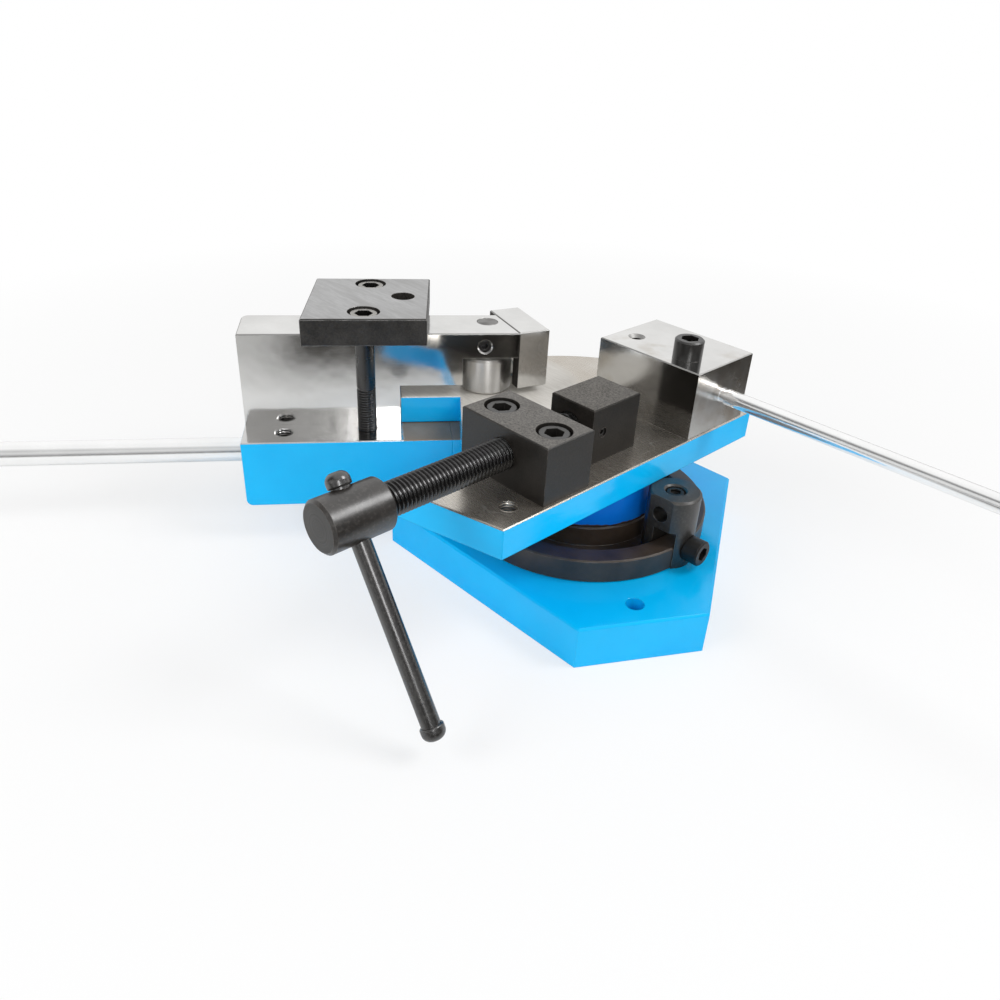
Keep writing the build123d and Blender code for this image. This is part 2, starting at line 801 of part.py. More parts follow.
def bending_beam():
    """Upright polished beam with a foot on the arm, an overhang and a pocket over the roller."""
    left = -arm_left + beam_left_inset
    right = seam_reach + nose_length
    sides = (-beam_front - past, beam_back + past)
    beam = block((left, right), (-beam_front, beam_back), (arm_top, beam_top))
    beam -= block((-foot_end, right + past), sides, (arm_top - past, overhang_z))
    beam -= block((-pocket_left, right + past), sides, (overhang_z - past, pocket_z))
    corner = beam.edges().filter_by(Axis.Z).group_by(Axis.X)[0].sort_by(Axis.Y)[-1]
    beam = fillet(corner, beam_corner_radius)
    beam = break_edges(beam, beam_edge_break)
    across = (-2 * beam_thickness, 2 * beam_thickness)
    seam_cut = block((seam_reach - seam_gap, 2 * right), across, (arm_top, beam_top + past))
    beam -= Rot(0, 0, seam_angle) * seam_cut
    beam -= column(pin_radius + press_gap, pocket_z - past, beam_top + past)
    screw_z = arm_top + pin_screw_height
    front_hole = Rot(90, 0, 0) * Cylinder(m8 / 2, beam_front)
    beam -= Pos(pin_screw_u, -beam_front / 2, screw_z) * front_hole
    mouth = pin_screw_mouth / 2
    cone = turned([(0, -mouth), (mouth, 0), (0, 0)])
    beam -= Pos(pin_screw_u, -beam_front, screw_z) * Rot(90, 0, 0) * cone
    for u in beam_screw_places():
        beam -= column(m12 / 2, arm_top - past, arm_top + beam_hole_depth, u, left_lever_v)
    nose_thread = Rot(0, 90, 0) * Cylinder(m8 / 2, 2 * (nose_thread_depth + turn_gap))
    dowel = nose_dowel_diameter / 2 + press_gap
    dowel_hole = Rot(0, 90, 0) * Cylinder(dowel, 2 * nose_dowel_depth + turn_gap)
    height = beam_top - nose_screw_height
    beam -= Rot(0, 0, seam_angle) * Pos(seam_reach, nose_screw_v, height) * nose_thread
    beam -= Rot(0, 0, seam_angle) * Pos(seam_reach, nose_dowel_v, height) * dowel_hole
    return arm_place * beam


def beam_screws():
    """Screws from under the arm into the foot of the beam."""
    seat = arm_bottom + counterbore_sink + m12
    length = arm_top - seat + beam_screw_engagement
    screw = Rot(180, 0, 0) * cap_screw(m12, m12_head, m12_key, length)
    return [arm_place * Pos(u, left_lever_v, seat) * screw for u in beam_screw_places()]


def bending_nose():
    """Nose block on the end of the beam, hollowed to clear the roller."""
    right = seam_reach + nose_length
    solid = block((seam_reach, right), (-nose_front, nose_back), (beam_top - nose_drop, beam_top))
    solid = break_edges(solid, beam_edge_break)
    solid = break_edges(solid, nose_lower_break, -Axis.Z)
    solid -= column(nose_relief_radius, beam_top - nose_drop - past, pocket_z)
    height = beam_top - nose_screw_height
    head_depth = m8 + counterbore_sink
    passage = Rot(0, 90, 0) * Cylinder(m8 / 2 + bolt_gap, 2 * (nose_length + past))
    counterbore = Rot(0, 90, 0) * Cylinder(m8_head / 2 + bolt_gap, 2 * head_depth)
    solid -= Pos(seam_reach, nose_screw_v, height) * passage
    solid -= Pos(right, nose_screw_v, height) * counterbore
    depth = nose_dowel_length - nose_dowel_depth + turn_gap
    dowel_hole = Rot(0, 90, 0) * Cylinder(nose_dowel_diameter / 2 + press_gap, 2 * depth)
    solid -= Pos(seam_reach, nose_dowel_v, height) * dowel_hole
    return nose_place * solid


def nose_screw():
    """Screw that pulls the nose block against the beam."""
    seat = seam_reach + nose_length - m8 - counterbore_sink
    length = seat - seam_reach + nose_thread_depth
    screw = Rot(0, 90, 0) * cap_screw(m8, m8_head, m8_key, length)
    return nose_place * Pos(seat, nose_screw_v, beam_top - nose_screw_height) * screw


def nose_dowel():
    """Dowel that keeps the nose block from turning."""
    middle = seam_reach - nose_dowel_depth + nose_dowel_length / 2
    pin = Rot(0, 90, 0) * Cylinder(nose_dowel_diameter / 2, nose_dowel_length)
    return nose_place * Pos(middle, nose_dowel_v, beam_top - nose_screw_height) * pin


def hold_down_plate():
    """Plate across the top of the beam, drawn down by a bolt on each side."""
    left = -plate_right - plate_length
    front = front_bolt_v - plate_front_margin
    back = back_bolt_v + plate_back_margin
    front_shift, back_shift = plate_lean(front), plate_lean(back)
    outline = Polyline([
        (left + front_shift, front), (front_shift - plate_right, front),
        (back_shift - plate_right, back), (left + back_shift, back),
    ], close=True)
    solid = Pos(0, 0, beam_top) * extrude(make_face(outline), plate_thickness, dir=(0, 0, 1))
    solid = break_edges(solid, plate_edge_break)
    seat = plate_top - counterbore_sink - m12
    for u, v in plate_bolt_places():
        solid -= column(m12 / 2 + bolt_gap, beam_top - past, plate_top + past, u, v)
        solid -= column(m12_head / 2 + counterbore_gap, seat, plate_top + past, u, v)
    hole_u = plate_lean(plate_hole_v) - plate_right - plate_hole_inset
    solid -= column(plate_hole_diameter / 2, beam_top - past, plate_top + past, hole_u, plate_hole_v)
    return arm_place * solid


def hold_down_bolts():
    """Long socket head bolts from the plate into the arm."""
    seat = plate_top - counterbore_sink - m12
    length = seat - arm_top + plate_bolt_engagement
    bolt = cap_screw(m12, m12_head, m12_key, length)
    return [arm_place * Pos(u, v, seat) * bolt for u, v in plate_bolt_places()]


def pivot_pin():
    """Pin through beam, roller, table and arm, with a flat for its set screw and a circlip groove."""
    groove = pin_radius - circlip_groove_depth
    groove_top = circlip_bottom + circlip_thickness
    lip = circlip_groove_depth
    pin = turned([
        (0, pin_bottom), (pin_radius - lip, pin_bottom), (pin_radius, pin_bottom + lip),
        (pin_radius, circlip_bottom), (groove, circlip_bottom), (groove, groove_top),
        (pin_radius, groove_top), (pin_radius, beam_top - lip), (pin_radius - lip, beam_top), (0, beam_top),
    ])
    flat = pin_flat_depth - pin_radius
    middle = arm_top + pin_screw_height
    low, high = middle - pin_flat_height / 2, middle + pin_flat_height / 2
    pin -= block((-pin_diameter, pin_diameter), (-pin_diameter, flat), (low, high))
    return arm_place * pin


def pin_set_screw():
    """Set screw in the front of the beam that bears on the pin's flat."""
    flat = pin_flat_depth - pin_radius
    length = beam_front - pin_screw_sink + flat - press_gap
    screw = Rot(90, 0, 0) * set_screw(m8, m8_set_key, length)
    return arm_place * Pos(pin_screw_u, pin_screw_sink - beam_front, arm_top + pin_screw_height) * screw


def pin_washer():
    """Washer under the arm's lug."""
    bottom = lug_bottom - washer_thickness
    return arm_place * tube(pin_radius + press_gap, pin_washer_radius, bottom, lug_bottom)


def pin_circlip():
    """Open ring in the pin's groove."""
    inner = pin_radius - circlip_groove_depth + press_gap
    top = circlip_bottom + circlip_thickness
    ring = tube(inner, circlip_radius, circlip_bottom, top)
    half = circlip_mouth / 2
    mouth = block((0, 2 * circlip_radius), (-half, half), (circlip_bottom - past, top + past))
    return arm_place * (ring - mouth)


def pivot_washer():
    """Bronze washer let into the lug, under the table."""
    bottom = arm_top - pivot_washer_sink
    return arm_place * tube(pin_radius + press_gap, pivot_washer_radius, bottom, table_bottom)


def roller_span():
    """Bottom and top of the roller above the spot face."""
    bottom = spot_floor + turn_gap
    return bottom, bottom + roller_height


def roller():
    """Bending roller round the pivot pin."""
    bottom, top = roller_span()
    bore = pin_radius + running_gap + roller_bush_wall + press_gap
    outer = roller_diameter / 2
    lip = roller_edge_break
    return Pos(pivot_x, pivot_y, 0) * turned([
        (bore, bottom), (outer - lip, bottom), (outer, bottom + lip),
        (outer, top - lip), (outer - lip, top), (bore, top),
    ])


def roller_bush():
    """Bronze bush inside the roller."""
    bottom, top = roller_span()
    bore = pin_radius + running_gap
    return Pos(pivot_x, pivot_y, 0) * tube(bore, bore + roller_bush_wall, bottom, top)


def post_heights():
    """Bottom, top, bore and clamp screw heights of the stop post."""
    top = table_bottom - post_top_gap
    return base_top + 2 * slide_gap, top, top - post_bore_drop, base_top + post_screw_height


def post_seat():
    """Distance from the turntable axis to the flat under the clamp screw's head."""
    return post_reach + post_diameter / 2 - post_seat_inset


def stop_post():
    """Round post with a slot over the rim, a cross hole for a stop rod and a clamp screw."""
    bottom, top, bore_z, screw_z = post_heights()
    radius = post_diameter / 2
    post = break_edges(column(radius, bottom, top, post_reach), post_edge_break)
    slot_inner = rim_inner - post_slot_gap
    slot_outer = ring_radius + post_slot_gap
    post -= tube(slot_inner, slot_outer, bottom - past, rim_top + post_slot_rise)
    post -= column(slot_outer, bottom - past, groove_floor + turn_gap)
    flat = post_flat_depth - radius
    sides = (post_reach - radius, post_reach + radius)
    post -= block(sides, (-post_diameter, flat), (bottom - past, top + past))
    rod_hole = Rot(90, 0, 0) * Cylinder(post_bore_diameter / 2, 2 * post_diameter)
    post -= Pos(post_reach, 0, bore_z) * rod_hole
    mouth = post_set_mouth / 2
    post -= Pos(post_reach, 0, 0) * turned([
        (0, bore_z), (m12 / 2, bore_z), (m12 / 2, top - mouth + m12 / 2), (mouth, top), (0, top),
    ])
    seat = post_seat()
    clamp_thread = Rot(0, 90, 0) * Cylinder(m10 / 2, 2 * (seat - ring_radius))
    spot_face = Rot(0, 90, 0) * Cylinder(m10_head / 2 + counterbore_gap, 2 * radius)
    post -= Pos(seat, 0, screw_z) * clamp_thread
    post -= Pos(seat + radius, 0, screw_z) * spot_face
    return post_place * post


def stop_clamp_screw():
    """Screw through the outer leg that locks the post on the rim."""
    seat = post_seat()
    length = seat - ring_radius - slide_gap
    screw = Rot(0, 90, 0) * cap_screw(m10, m10_head, m10_key, length)
    return post_place * Pos(seat, 0, post_heights()[3]) * screw


def stop_set_screw():
    """Set screw in the top of the post, above the cross hole."""
    bore_top = post_heights()[2] + post_bore_diameter / 2
    place = Pos(post_reach, 0, bore_top + turn_gap + post_set_length)
    return post_place * place * set_screw(m12, m12_set_key, post_set_length)


NODES = [
    base_plate, turntable_ring, ring_screws, turntable_bush, thrust_washer,
    table, king_post, king_retainer, retainer_screws, pivot_bush,
    screw_block, block_screws, counter_block, counter_block_screw, right_lever,
    jaw, jaw_grub_screw, clamp_screw, tommy_bar, tommy_bar_knobs,
    swing_arm, pivot_lug, bending_beam, beam_screws, bending_nose, nose_screw, nose_dowel,
    hold_down_plate, hold_down_bolts, left_lever,
    pivot_pin, pin_set_screw, pin_washer, pin_circlip, pivot_washer,
    roller, roller_bush,
    stop_post, stop_clamp_screw, stop_set_screw,
]

os.makedirs("parts", exist_ok=True)
for make in NODES:
    made = make()
    shape = Compound(children=made) if isinstance(made, list) else made
    export_step(shape, f"parts/{make.__name__}.step")
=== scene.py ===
"""Looks of a bench bender for flat bar, in metres, with +Z up and the origin under the turntable's axis."""

import math

import bmesh
import bpy
from mathutils import Matrix, Vector


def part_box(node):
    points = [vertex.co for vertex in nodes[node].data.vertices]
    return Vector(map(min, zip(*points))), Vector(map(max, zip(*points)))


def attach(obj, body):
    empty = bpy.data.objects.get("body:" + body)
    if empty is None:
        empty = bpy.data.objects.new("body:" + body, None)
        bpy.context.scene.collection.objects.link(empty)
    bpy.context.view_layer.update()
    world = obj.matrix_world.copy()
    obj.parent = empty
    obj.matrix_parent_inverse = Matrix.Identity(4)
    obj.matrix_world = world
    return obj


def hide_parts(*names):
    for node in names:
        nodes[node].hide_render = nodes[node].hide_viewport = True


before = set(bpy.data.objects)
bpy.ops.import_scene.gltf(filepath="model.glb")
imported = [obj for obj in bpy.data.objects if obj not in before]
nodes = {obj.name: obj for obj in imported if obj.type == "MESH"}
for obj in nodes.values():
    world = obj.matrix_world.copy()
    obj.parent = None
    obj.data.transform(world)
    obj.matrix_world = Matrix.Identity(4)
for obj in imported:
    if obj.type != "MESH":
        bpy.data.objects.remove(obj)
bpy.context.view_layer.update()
scene = bpy.context.scene
scene.view_settings.view_transform = "Standard"

UP = (0.0, 0.0, 1.0)

# Arm: the turn of the beam on it, the height of its machined ledge, how far along the arm from the pivot the
# ledge turns brown and dull as painted shade under the table's tail, and the seam of beam and nose as a level
# way and how far along it
PIVOT = (-0.086276, -0.009525)
ARM_TURN = math.radians(54.3)
LEDGE_TOP = 0.0724
LEDGE_SHADE_START = -0.057
SEAM_WAY = math.radians(71.9)
SEAM_REACH = -0.0249

# Table: the height of its machined top, the radius round the pivot within which its top is rough, dull and
# painted pale as a painted highlight, the pivot's bore, and the height below which its boss has no paint
TABLE_TOP = 0.0909
TAIL_LIGHT_RADIUS = 0.062
PIVOT_BORE = 0.0262
BOSS_FOOT = 0.0465

# Threaded holes: their places in X and Y, and the radius of their mouths
TABLE_THREAD = (0.0394, -0.1085)
ARM_THREAD = (-0.13674, -0.1358)
THREAD_MOUTH = 0.0056
COUNTER_THREAD = (-0.0092, 0.05)
COUNTER_MOUTH = 0.0035

# Clamp screw: its axis in X and Z, the length of its head, and its thread
CLAMP_AXIS = (0.0197, 0.110)
CLAMP_HEAD = 0.036
CLAMP_RADIUS = 0.009
CLAMP_PITCH = 0.0025
CLAMP_LENGTH = 0.1322

# Hold-down bolts: how far from the pivot along and across the arm, the skew of their row, their thread,
# and the height of their heads
BOLT_ROW = -0.077
BOLT_SIDES = (-0.0285, 0.0262)
BOLT_SKEW = math.tan(math.radians(5.0))
BOLT_RADIUS = 0.00595
BOLT_PITCH = 0.00175
BOLT_FOOT = 0.070
BOLT_LENGTH = 0.0325
BOLT_HEADS = 0.1502

# Wound threads: their depth as a share of the pitch, how far the crest stays inside the plain wall, how far
# the core lies inside the root, how far a corner of the plain wall may be off it, and points that are welded
THREAD_DEPTH = 0.541
CREST_GAP = 0.00001
CORE_GAP = 0.00003
WALL_SLACK = 0.00004
WALL_END_SLACK = 0.00001
WELD = 0.000001


class Nodes:
    """A node tree in the making, with short words for the nodes that are used most."""

    def __init__(self, tree):
        self.tree = tree

    def add(self, kind, **settings):
        node = self.tree.nodes.new(kind)
        for key, value in settings.items():
            setattr(node, key, value)
        return node

    def join(self, source, target):
        """Link a socket to another, or set a number or a colour on it."""
        if isinstance(source, (int, float)):
            target.default_value = source
        elif isinstance(source, tuple):
            opaque = len(source) == 3 and target.type == "RGBA"
            target.default_value = (*source, 1.0) if opaque else source
        else:
            self.tree.links.new(source, target)

    def math(self, operation, a, b=0.0):
        node = self.add("ShaderNodeMath", operation=operation)
        self.join(a, node.inputs[0])
        self.join(b, node.inputs[1])
        return node.outputs[0]

    def distance(self, a, b):
        """How far off a place is that lies a one way and b square to it."""
        return self.math("SQRT", self.math("ADD", self.math("MULTIPLY", a, a), self.math("MULTIPLY", b, b)))

    def dot(self, a, b):
        node = self.add("ShaderNodeVectorMath", operation="DOT_PRODUCT")
        self.join(a, node.inputs[0])
        self.join(b, node.inputs[1])
        return node.outputs["Value"]

    def split(self, vector):
        node = self.add("ShaderNodeSeparateXYZ")
        self.join(vector, node.inputs[0])
        return node.outputs

    def span(self, value, low, high, to_low=0.0, to_high=1.0):
        """Stretch a value from one span to another, and hold it at the ends."""
        node = self.add("ShaderNodeMapRange")
        self.join(value, node.inputs["Value"])
        ends = {"From Min": low, "From Max": high, "To Min": to_low, "To Max": to_high}
        for key, number in ends.items():
            node.inputs[key].default_value = number
        return node.outputs["Result"]

    def blend(self, factor, a, b, kind="RGBA"):
        node = self.add("ShaderNodeMix", data_type=kind)
        first = {"FLOAT": 2, "VECTOR": 4, "RGBA": 6}[kind]
        self.join(factor, node.inputs[0])
        self.join(a, node.inputs[first])
        self.join(b, node.inputs[first + 1])
        return node.outputs[first // 2 - 1]


class Paint(Nodes):
    """One material in the making, with more words, for what only the finishes use."""

    def __init__(self, name):
        self.material = bpy.data.materials.new(name)
        self.material.use_nodes = True
        super().__init__(self.material.node_tree)
        self.shader = self.tree.nodes["Principled BSDF"]
        self.place = self.add("ShaderNodeTexCoord").outputs["Object"]

    def set(self, **inputs):
        """Join values to the shader, by the names of its sockets."""
        for key, value in inputs.items():
            self.join(value, self.shader.inputs[key.replace("_", " ")])

    def mapped(self, scale, turn=0.0):
        """Places drawn out by a scale for each axis, and turned about the upright."""
        node = self.add("ShaderNodeMapping")
        self.join(self.place, node.inputs["Vector"])
        node.inputs["Scale"].default_value = scale
        node.inputs["Rotation"].default_value = (0.0, 0.0, turn)
        return node.outputs[0]

    def axes(self):
        return self.split(self.place)

    def noise(self, scale, detail=3.0, rough=0.5, vector=None):
        node = self.add("ShaderNodeTexNoise")
        self.join(vector or self.place, node.inputs["Vector"])
        node.inputs["Scale"].default_value = scale
        node.inputs["Detail"].default_value = detail
        node.inputs["Roughness"].default_value = rough
        return node.outputs["Fac"]

    def soft_edge(self, radius):
        """Normal with its edges rounded, and how near each place is to an edge."""
        bevel = self.add("ShaderNodeBevel", samples=6)
        bevel.inputs["Radius"].default_value = radius
        true = self.add("ShaderNodeNewGeometry").outputs["True Normal"]
        return bevel.outputs[0], self.span(self.dot(bevel.outputs[0], true), 0.99, 0.85)

    def bump(self, height, strength, distance, normal=None):
        node = self.add("ShaderNodeBump")
        node.inputs["Strength"].default_value = strength
        node.inputs["Distance"].default_value = distance
        self.join(height, node.inputs["Height"])
        if normal is not None:
            self.join(normal, node.inputs["Normal"])
        return node.outputs[0]

    def facing(self, way, least=0.75, most=0.95):
        """One where the surface looks that way, nought elsewhere."""
        true = self.add("ShaderNodeNewGeometry").outputs["True Normal"]
        return self.span(self.dot(true, way), least, most)

    def facing_up(self):
        return self.facing(UP)

    def scratches(self, scale, width):
        """Thin curved lines, broken up here and there."""
        line = self.math("ABSOLUTE", self.math("SUBTRACT", self.noise(scale, 2, 0.4), 0.5))
        broken = self.span(self.noise(55, 2), 0.5, 0.62)
        return self.math("MULTIPLY", self.span(line, 0.0, width, 1.0, 0.0), broken)

    def reach(self, way, start=(0.0, 0.0)):
        """How far each place lies from a start along a level way, given as an angle."""
        x, y, _ = self.axes()
        from_x = self.math("MULTIPLY", self.math("SUBTRACT", x, start[0]), math.cos(way))
        from_y = self.math("MULTIPLY", self.math("SUBTRACT", y, start[1]), math.sin(way))
        return self.math("ADD", from_x, from_y)

    def near(self, centre, radius, soft=0.0004):
        """One inside an upright cylinder, nought outside."""
        x, y, _ = self.axes()
        far = self.distance(self.math("SUBTRACT", x, centre[0]), self.math("SUBTRACT", y, centre[1]))
        return self.span(far, radius + soft, radius - soft)


# Bare steel: its two tones and its span of roughness
BROWNED = ((0.48, 0.43, 0.365), (0.64, 0.61, 0.565), (0.22, 0.32))
BRIGHT = ((0.53, 0.52, 0.51), (0.70, 0.695, 0.69), (0.10, 0.20))

# Paint: its two tones
FRESH_BLUE = ((0.001, 0.465, 0.91), (0.003, 0.515, 0.965))
# the same paint darkened as painted shade, for the boss under the table
SHADED_BLUE = ((0.003, 0.17, 0.72), (0.006, 0.23, 0.82))


def blue_paint(name, bare_above=None, bare_holes=(), bare=BROWNED, bare_metal=0.88, shaded_from=None,
               rubbed=None, brown_below=None, pigment=FRESH_BLUE):
    """Thick gloss paint, with bare machined steel above a height and in holes, some of them threaded; far
    down a threaded hole the steel is darkened as painted shade. Bare gives the steel's tones and roughness,
    and bare_metal how little it is soiled. Past shaded_from along the arm the steel is dull and painted brown
    as shade under the table's tail, and within the radius rubbed round the pivot it is rough, dull and
    painted pale as a painted highlight. Below brown_below there is no paint but brown scale."""
    p = Paint(name)
    normal, edge = p.soft_edge(0.0010)
    height = p.axes()[2]
    tone = p.blend(p.span(p.noise(28, 4), 0.3, 0.7), *pigment)
    chip = p.math("MULTIPLY", edge, p.span(p.noise(240, 4), 0.66, 0.72))
    tone = p.blend(chip, tone, (0.03, 0.10, 0.20))
    rough = p.span(p.noise(60, 5), 0.3, 0.7, 0.10, 0.18)
    sag = p.noise(60, 2, 0.4, p.mapped((1.0, 1.0, 2.5)))
    skin = p.bump(p.noise(420, 2), 0.05, 0.0004, p.bump(sag, 0.12, 0.0015, normal))
    metal = 0.0
    if brown_below is not None:
        ragged = p.math("ADD", height, p.span(p.noise(160, 4), 0.2, 0.8, -0.0011, 0.0011))
        scale = p.span(ragged, brown_below + 0.0002, brown_below - 0.0002)
        tone = p.blend(scale, tone, p.blend(p.noise(120, 5), (0.030, 0.020, 0.014), (0.090, 0.062, 0.045)))
        rough = p.blend(scale, rough, p.span(p.noise(200, 4), 0.3, 0.7, 0.35, 0.55), "FLOAT")
    if bare_above is not None:
        mask = p.span(height, bare_above - 0.0001, bare_above + 0.0001)
        ridges = 0.0
        hole_shade = 0.0
        # painted shade: far down a threaded hole the steel is darkened
        below = p.span(height, bare_above - 0.0012, bare_above - 0.0032, 0.0, 0.85)
        for centre, radius, threaded in bare_holes:
            hole = p.near(centre, radius)
            mask = p.math("MAXIMUM", mask, hole)
            if threaded:
                wave = p.math("SINE", p.math("MULTIPLY", height, math.tau / BOLT_PITCH))
                ridges = p.math("ADD", ridges, p.math("MULTIPLY", hole, wave))
                hole_shade = p.math("ADD", hole_shade, p.math("MULTIPLY", hole, below))
        grain = p.noise(90, 6, 0.6, p.mapped((1.0, 14.0, 1.0), 0.5))
        stain = p.noise(18, 5, 0.6)
        steel = p.blend(p.span(stain, 0.3, 0.75), bare[0], bare[1])
        scratch = p.scratches(32, 0.010)
        steel = p.blend(p.math("MULTIPLY", scratch, 0.5), steel, (0.78, 0.77, 0.75))
        cut = p.math("ADD", p.span(grain, 0.25, 0.75, *bare[2]), p.math("MULTIPLY", scratch, 0.08))
        metal = p.math("MULTIPLY", mask, bare_metal)
        patch = None
        # painted shade under the table's tail: past this reach the ledge is painted brown, and made dull
        if shaded_from is not None:
            waver = p.span(p.noise(90, 3), 0.2, 0.8, -0.0012, 0.0012)
            ragged = p.math("ADD", p.reach(ARM_TURN, PIVOT), waver)
            patch = p.span(ragged, shaded_from - 0.0006, shaded_from + 0.0006)
            patch_tone = p.blend(p.span(stain, 0.3, 0.7), (0.17, 0.125, 0.09), (0.30, 0.235, 0.175))
        # painted highlight: round the pivot the tail's top is painted pale, and made rough and dull
        if rubbed is not None:
            patch = p.near(PIVOT, rubbed, 0.004)
            patch_tone = p.blend(p.span(grain, 0.3, 0.7), (0.62, 0.59, 0.54), (0.80, 0.775, 0.73))
        if patch is not None:
            steel = p.blend(patch, steel, patch_tone)
            cut = p.blend(patch, cut, p.span(grain, 0.25, 0.75, 0.34, 0.46), "FLOAT")
            metal = p.math("MULTIPLY", metal, p.span(patch, 0.0, 1.0, 1.0, 0.22))
        tone = p.blend(mask, tone, steel)
        rough = p.blend(mask, rough, cut, "FLOAT")
        ground = p.bump(grain, 0.02, 0.0002, normal)
        if bare_holes:
            ground = p.bump(ridges, 0.6, 0.0005, ground)
            # painted shade far down the threaded holes
            tone = p.blend(hole_shade, tone, (0.045, 0.042, 0.039))
            rough = p.blend(hole_shade, rough, 0.5, "FLOAT")
        skin = p.blend(mask, skin, ground, "VECTOR")
    p.set(Base_Color=tone, Roughness=rough, Metallic=metal, Normal=skin, Specular_IOR_Level=0.35)
    return p.material


def block_black(name, sheen):
    """Blackened milled blocks: matt, brown-black and finely grained, paler on top, partly dirt and partly a
    painted sheen, rubbed at the edges.
    """
    p = Paint(name)
    normal, edge = p.soft_edge(0.0006)
    cloud = p.noise(60, 6, 0.62)
    grain = p.noise(1100, 3, 0.65)
    mottle = p.math("ADD", p.math("MULTIPLY", cloud, 0.5), p.math("MULTIPLY", grain, 0.5))
    dark = p.blend(p.span(mottle, 0.36, 0.64), (0.006, 0.0052, 0.0045), (0.026, 0.0225, 0.019))
    # up-facing faces are paler: partly dirt, partly a painted sheen
    dust_and_sheen = p.blend(p.span(grain, 0.36, 0.64), (0.033, 0.030, 0.026), (0.156, 0.144, 0.128))
    tone = p.blend(p.facing_up(), dark, dust_and_sheen)
    rub = p.math("MULTIPLY", edge, p.span(p.noise(170, 5), 0.40, 0.66, 0.0, 0.65))
    p.set(Base_Color=p.blend(rub, tone, (0.26, 0.24, 0.22)), Metallic=rub)
    p.set(Roughness=p.span(cloud, 0.25, 0.75, 0.36, 0.50), Specular_IOR_Level=sheen)
    p.set(Normal=p.bump(grain, 0.16, 0.0001, normal))
    return p.material


def turned_black(name, marks=(1.0, 1.0, 1.0), low=(0.007, 0.0065, 0.006), high=(0.016, 0.0145, 0.013),
                 rough=(0.24, 0.36), gloss=1.7, rubbed=0.35, rings=None, bare_tops=None, specks=0.0):
    """Blackened turned steel with an oily gloss, faint lathe marks and edges rubbed bright.
    Rings is the X and Z of the axis round which the end face of the clamp screw's head is turned, bare_tops
    the height of tops that are ground bare, and specks how much metal shows in fine worn specks."""
    p = Paint(name)
    normal, edge = p.soft_edge(0.0005)
    cloud = p.noise(75, 6, 0.62)
    turned = p.noise(90, 5, 0.6, p.mapped(marks))
    tone = p.blend(p.span(cloud, 0.3, 0.72), low, high)
    metal = 0.0
    if rubbed:
        metal = p.math("MULTIPLY", edge, p.span(p.noise(150, 5), 0.36, 0.62, 0.0, rubbed))
    if specks:
        grit = p.noise(620, 4, 0.7)
        metal = p.math("MAXIMUM", metal, p.span(grit, 0.50, 0.70, 0.0, specks))
        turned = p.math("ADD", turned, p.math("MULTIPLY", grit, 0.8))
    if bare_tops is not None:
        level = p.span(p.axes()[2], bare_tops - 0.0002, bare_tops - 0.0001, 0.0, 0.9)
        metal = p.math("MAXIMUM", metal, p.math("MULTIPLY", p.facing_up(), level))
    if rubbed:
        tone = p.blend(metal, tone, (0.36, 0.345, 0.32))
    if rings is not None:
        x, _, z = p.axes()
        circle = p.add("ShaderNodeCombineXYZ")
        p.join(p.distance(p.math("SUBTRACT", x, rings[0]), p.math("SUBTRACT", z, rings[1])), circle.inputs[0])
        ring = p.noise(1500, 3, 0.6, circle.outputs[0])
        end = p.math("MULTIPLY", p.facing((0.0, -1.0, 0.0)), p.span(edge, 0.0, 0.4, 1.0, 0.0))
        end_tone = p.blend(p.span(ring, 0.3, 0.7), (0.042, 0.041, 0.040), (0.098, 0.096, 0.093))
        tone = p.blend(end, tone, end_tone)
        metal = p.math("MAXIMUM", metal, end)
    p.set(Base_Color=tone, Metallic=metal)
    p.set(Roughness=p.math("ADD", p.span(cloud, 0.25, 0.75, *rough), p.span(turned, 0.3, 0.7, 0.0, 0.06)))
    p.set(IOR=gloss, Specular_IOR_Level=0.5, Normal=p.bump(turned, 0.08, 0.0001, normal))
    return p.material


def plate_black(name, turn):
    """Hold-down plate: blackened sides, and a top ground bare with marks that run askew."""
    p = Paint(name)
    normal, edge = p.soft_edge(0.0007)
    cloud = p.noise(60, 6, 0.62)
    grain = p.noise(1000, 3, 0.65)
    marks = p.noise(150, 5, 0.6, p.mapped((1.0, 16.0, 1.0), turn))
    scuffs = p.span(p.noise(30, 4, 0.6, p.mapped((1.0, 6.0, 1.0), turn)), 0.34, 0.62)
    mottle = p.math("ADD", p.math("MULTIPLY", cloud, 0.5), p.math("MULTIPLY", grain, 0.5))
    dark = p.blend(p.span(mottle, 0.38, 0.62), (0.005, 0.0045, 0.004), (0.040, 0.036, 0.032))
    pale = p.blend(scuffs, (0.37, 0.365, 0.36), (0.54, 0.54, 0.54))
    bare = p.blend(p.span(marks, 0.3, 0.7), (0.33, 0.33, 0.33), pale)
    top = p.facing_up()
    rub = p.math("MULTIPLY", edge, p.span(p.noise(130, 4), 0.34, 0.6, 0.0, 0.9))
    metal = p.math("MAXIMUM", top, rub)
    p.set(Base_Color=p.blend(metal, dark, p.blend(rub, bare, (0.62, 0.61, 0.59))), Metallic=metal)
    matt = p.span(cloud, 0.25, 0.75, 0.34, 0.48)
    p.set(Roughness=p.blend(top, matt, p.span(marks, 0.3, 0.7, 0.28, 0.42), "FLOAT"))
    p.set(Normal=p.bump(p.blend(top, grain, marks, "FLOAT"), 0.12, 0.0001, normal), Specular_IOR_Level=0.6)
    return p.material


